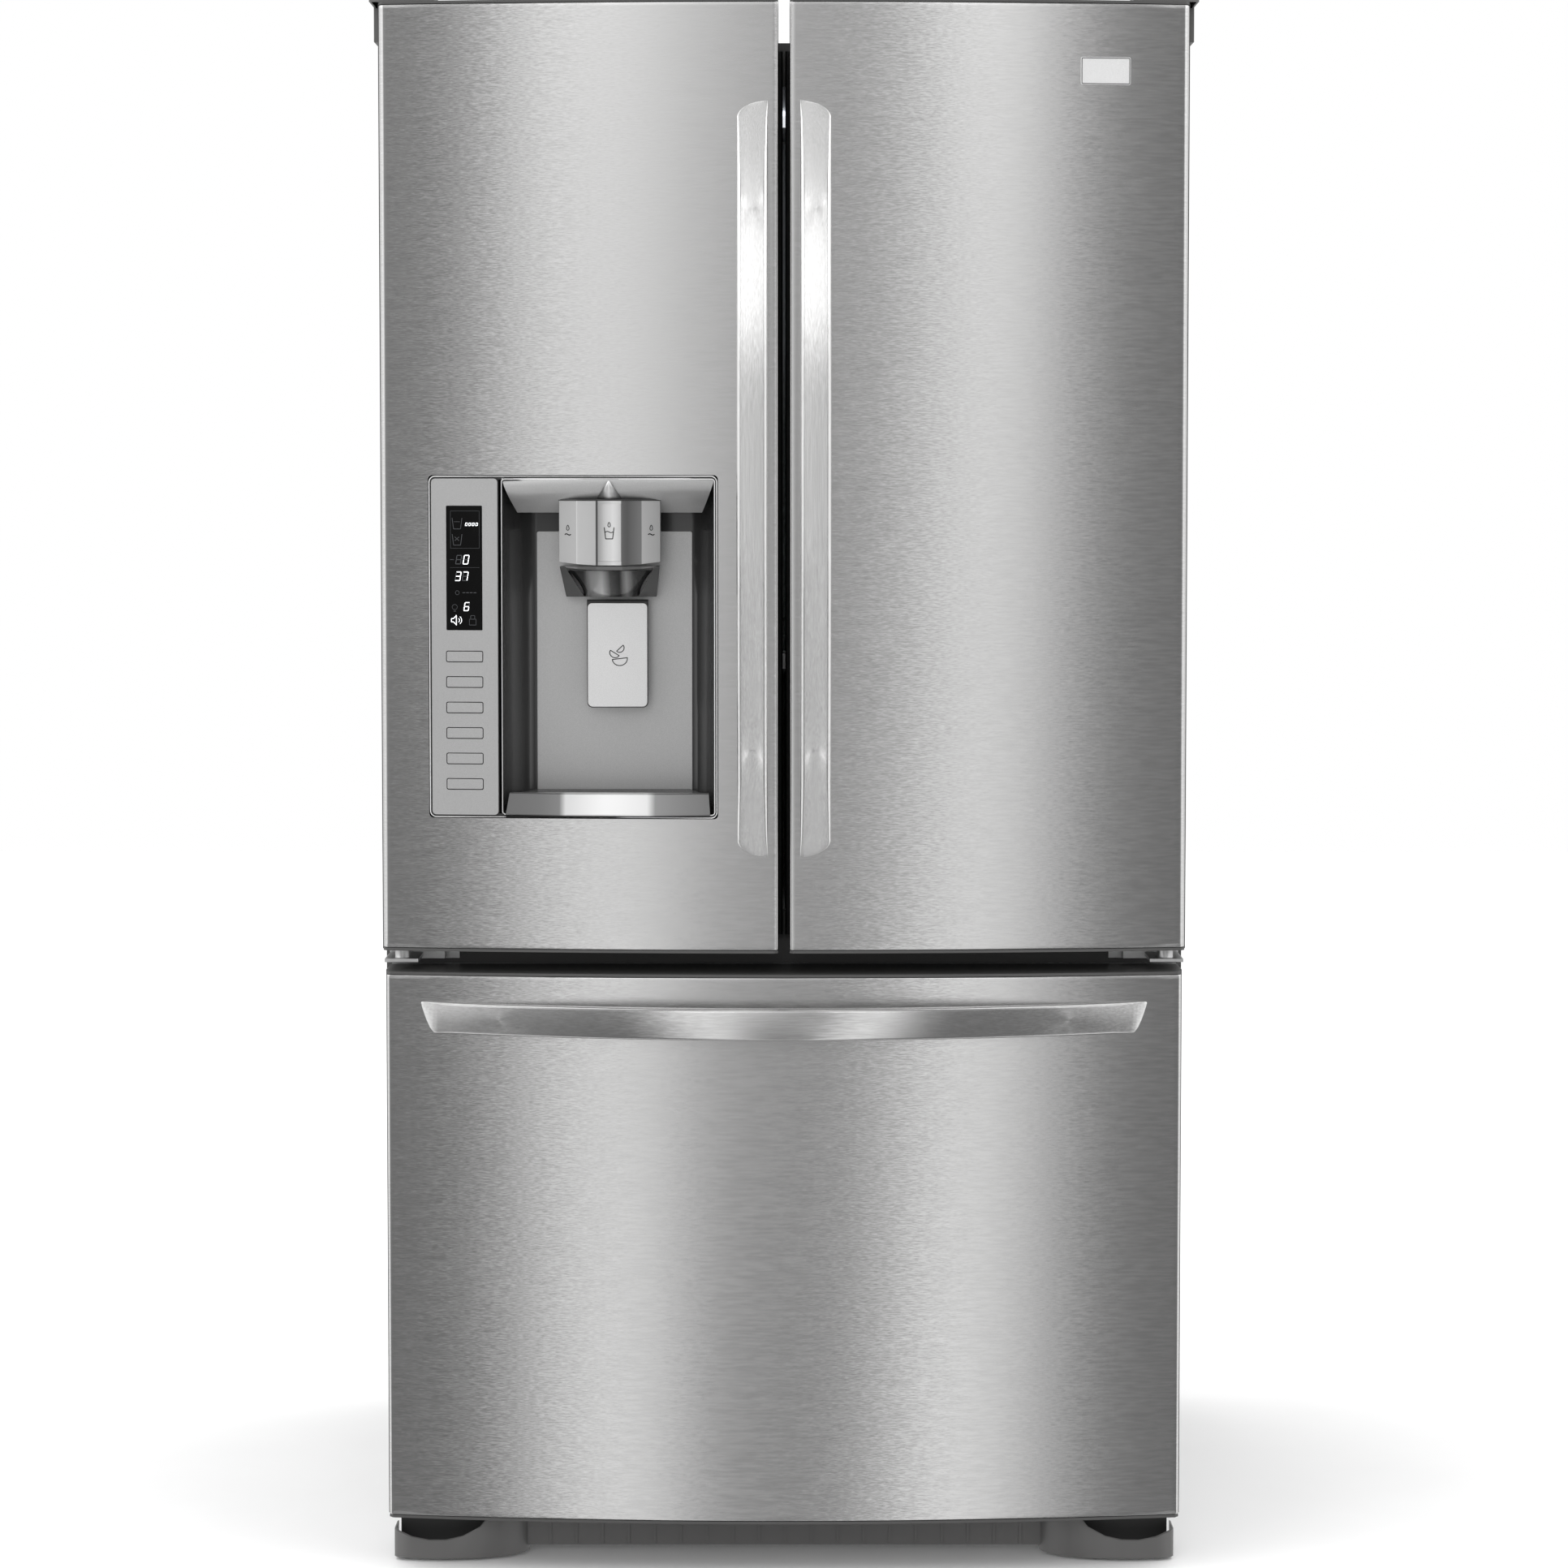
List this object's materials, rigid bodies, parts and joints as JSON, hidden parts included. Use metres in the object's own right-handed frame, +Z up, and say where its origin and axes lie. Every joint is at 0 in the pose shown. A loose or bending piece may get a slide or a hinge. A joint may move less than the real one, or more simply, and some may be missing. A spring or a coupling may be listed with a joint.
{
  "type": "french door refrigerator",
  "caption": "Free-standing french door refrigerator with a convex stainless front, a dispenser in the left door and a bottom freezer drawer.",
  "frame": {"origin": "on the floor, midway between the sides and midway between the handles' fronts and the back", "axes": "+Z up, the doors face -Y, +X to the right as seen from the front"},
  "size_m": [0.922, 0.921, 1.77],
  "materials": {
    "stainless_skin": "satin",
    "satin_handle": "satin",
    "chrome_trim": "polished",
    "zinc_steel": "satin",
    "cabinet_paint": "satin",
    "dark_plastic": "matte",
    "grey_plastic": "satin",
    "silver_panel": "satin",
    "white_liner": "satin",
    "clear_plastic": "gloss",
    "shelf_glass": "polished",
    "gasket_rubber": "matte",
    "foam": "matte",
    "smoked_plastic": "gloss",
    "compressor_paint": "satin"
  },
  "bodies": {
    "cabinet": {"cabinet_shell": "cabinet_paint", "insulation_foam": "foam", "fridge_liner": "white_liner", "freezer_liner": "white_liner", "back_panel": "cabinet_paint", "machine_cover": "cabinet_paint", "cord_gland": "dark_plastic", "compressor": "compressor_paint", "base_frame": "zinc_steel", "toe_grille": "grey_plastic", "leveling_leg_left": "dark_plastic", "leveling_leg_right": "dark_plastic", "top_hinge_left": "zinc_steel", "top_hinge_right": "zinc_steel", "hinge_cover_left": "grey_plastic", "hinge_cover_right": "grey_plastic", "centre_hinge_left": "zinc_steel", "centre_hinge_right": "zinc_steel", "shelf_left": "shelf_glass", "shelf_right": "shelf_glass", "crisper_cover": "shelf_glass", "crisper_left": "clear_plastic", "crisper_right": "clear_plastic", "slide_rail_left": "zinc_steel", "slide_rail_right": "zinc_steel"},
    "left_door": {"door_left_skin": "stainless_skin", "door_left_core": "white_liner", "door_left_gasket": "gasket_rubber", "handle_left": "satin_handle", "ice_compartment": "white_liner", "dispenser_housing": "grey_plastic", "control_panel": "silver_panel", "water_head": "satin_handle", "ice_chute": "smoked_plastic", "drip_tray": "silver_panel"},
    "right_door": {"door_right_skin": "stainless_skin", "door_right_core": "white_liner", "door_right_gasket": "gasket_rubber", "handle_right": "satin_handle", "door_bin_upper": "clear_plastic", "door_bin_lower": "clear_plastic"},
    "drawer": {"drawer_skin": "stainless_skin", "drawer_core": "white_liner", "drawer_gasket": "gasket_rubber", "drawer_handle": "stainless_skin", "drawer_carriage": "zinc_steel", "freezer_basket": "white_liner"},
    "mullion": {"mullion": "dark_plastic"},
    "water_button": {"water_button": "chrome_trim"},
    "ice_paddle": {"ice_paddle": "chrome_trim"},
    "freezer_tray": {"freezer_tray": "clear_plastic"},
    "roller_left": {"roller_left": "dark_plastic"},
    "roller_right": {"roller_right": "dark_plastic"},
    "condenser_fan": {"condenser_fan": "dark_plastic"},
    "button_1": {"button_1": "silver_panel"},
    "button_2": {"button_2": "silver_panel"},
    "button_3": {"button_3": "silver_panel"},
    "button_4": {"button_4": "silver_panel"},
    "button_5": {"button_5": "silver_panel"},
    "button_6": {"button_6": "silver_panel"}
  },
  "joints": [
    {"name": "left_door_swing", "type": "hinge", "parent": "cabinet", "child": "left_door", "pos_m": [-0.4305, -0.343, 1], "axis": [0, 0, -1], "range_deg": [0, 120]},
    {"name": "right_door_swing", "type": "hinge", "parent": "cabinet", "child": "right_door", "pos_m": [0.4305, -0.343, 1], "axis": [0, 0, 1], "range_deg": [0, 120]},
    {"name": "mullion_fold", "type": "hinge", "parent": "left_door", "child": "mullion", "pos_m": [-0.022, -0.266, 1.2], "axis": [0, 0, -1], "range_deg": [0, 90]},
    {"name": "drawer_slide", "type": "slide", "parent": "cabinet", "child": "drawer", "axis": [0, -1, 0], "range_m": [0, 0.4]},
    {"name": "freezer_tray_slide", "type": "slide", "parent": "drawer", "child": "freezer_tray", "axis": [0, 1, 0], "range_m": [0, 0.12]},
    {"name": "water_button_press", "type": "slide", "parent": "left_door", "child": "water_button", "axis": [0, 1, 0], "range_m": [0, 0.0025], "stiffness_N_per_m": 600},
    {"name": "ice_paddle_tilt", "type": "hinge", "parent": "left_door", "child": "ice_paddle", "pos_m": [-0.1875, -0.332, 1.094], "axis": [1, 0, 0], "range_deg": [0, 12], "stiffness_Nm_per_rad": 0.4},
    {"name": "roller_left_spin", "type": "hinge", "parent": "cabinet", "child": "roller_left", "pos_m": [-0.425, 0.372, 0.0223], "axis": [1, 0, 0], "continuous": true},
    {"name": "roller_right_spin", "type": "hinge", "parent": "cabinet", "child": "roller_right", "pos_m": [0.425, 0.372, 0.0223], "axis": [1, 0, 0], "continuous": true},
    {"name": "condenser_fan_spin", "type": "hinge", "parent": "cabinet", "child": "condenser_fan", "pos_m": [0.12, 0.4115, 0.195], "axis": [0, 1, 0], "continuous": true},
    {"name": "button_1_press", "type": "slide", "parent": "left_door", "child": "button_1", "axis": [0.105, 0.9945, 0], "range_m": [0, 0.001], "stiffness_N_per_m": 500},
    {"name": "button_2_press", "type": "slide", "parent": "left_door", "child": "button_2", "axis": [0.105, 0.9945, 0], "range_m": [0, 0.001], "stiffness_N_per_m": 500},
    {"name": "button_3_press", "type": "slide", "parent": "left_door", "child": "button_3", "axis": [0.105, 0.9945, 0], "range_m": [0, 0.001], "stiffness_N_per_m": 500},
    {"name": "button_4_press", "type": "slide", "parent": "left_door", "child": "button_4", "axis": [0.105, 0.9945, 0], "range_m": [0, 0.001], "stiffness_N_per_m": 500},
    {"name": "button_5_press", "type": "slide", "parent": "left_door", "child": "button_5", "axis": [0.105, 0.9945, 0], "range_m": [0, 0.001], "stiffness_N_per_m": 500},
    {"name": "button_6_press", "type": "slide", "parent": "left_door", "child": "button_6", "axis": [0.105, 0.9945, 0], "range_m": [0, 0.001], "stiffness_N_per_m": 500}
  ]
}
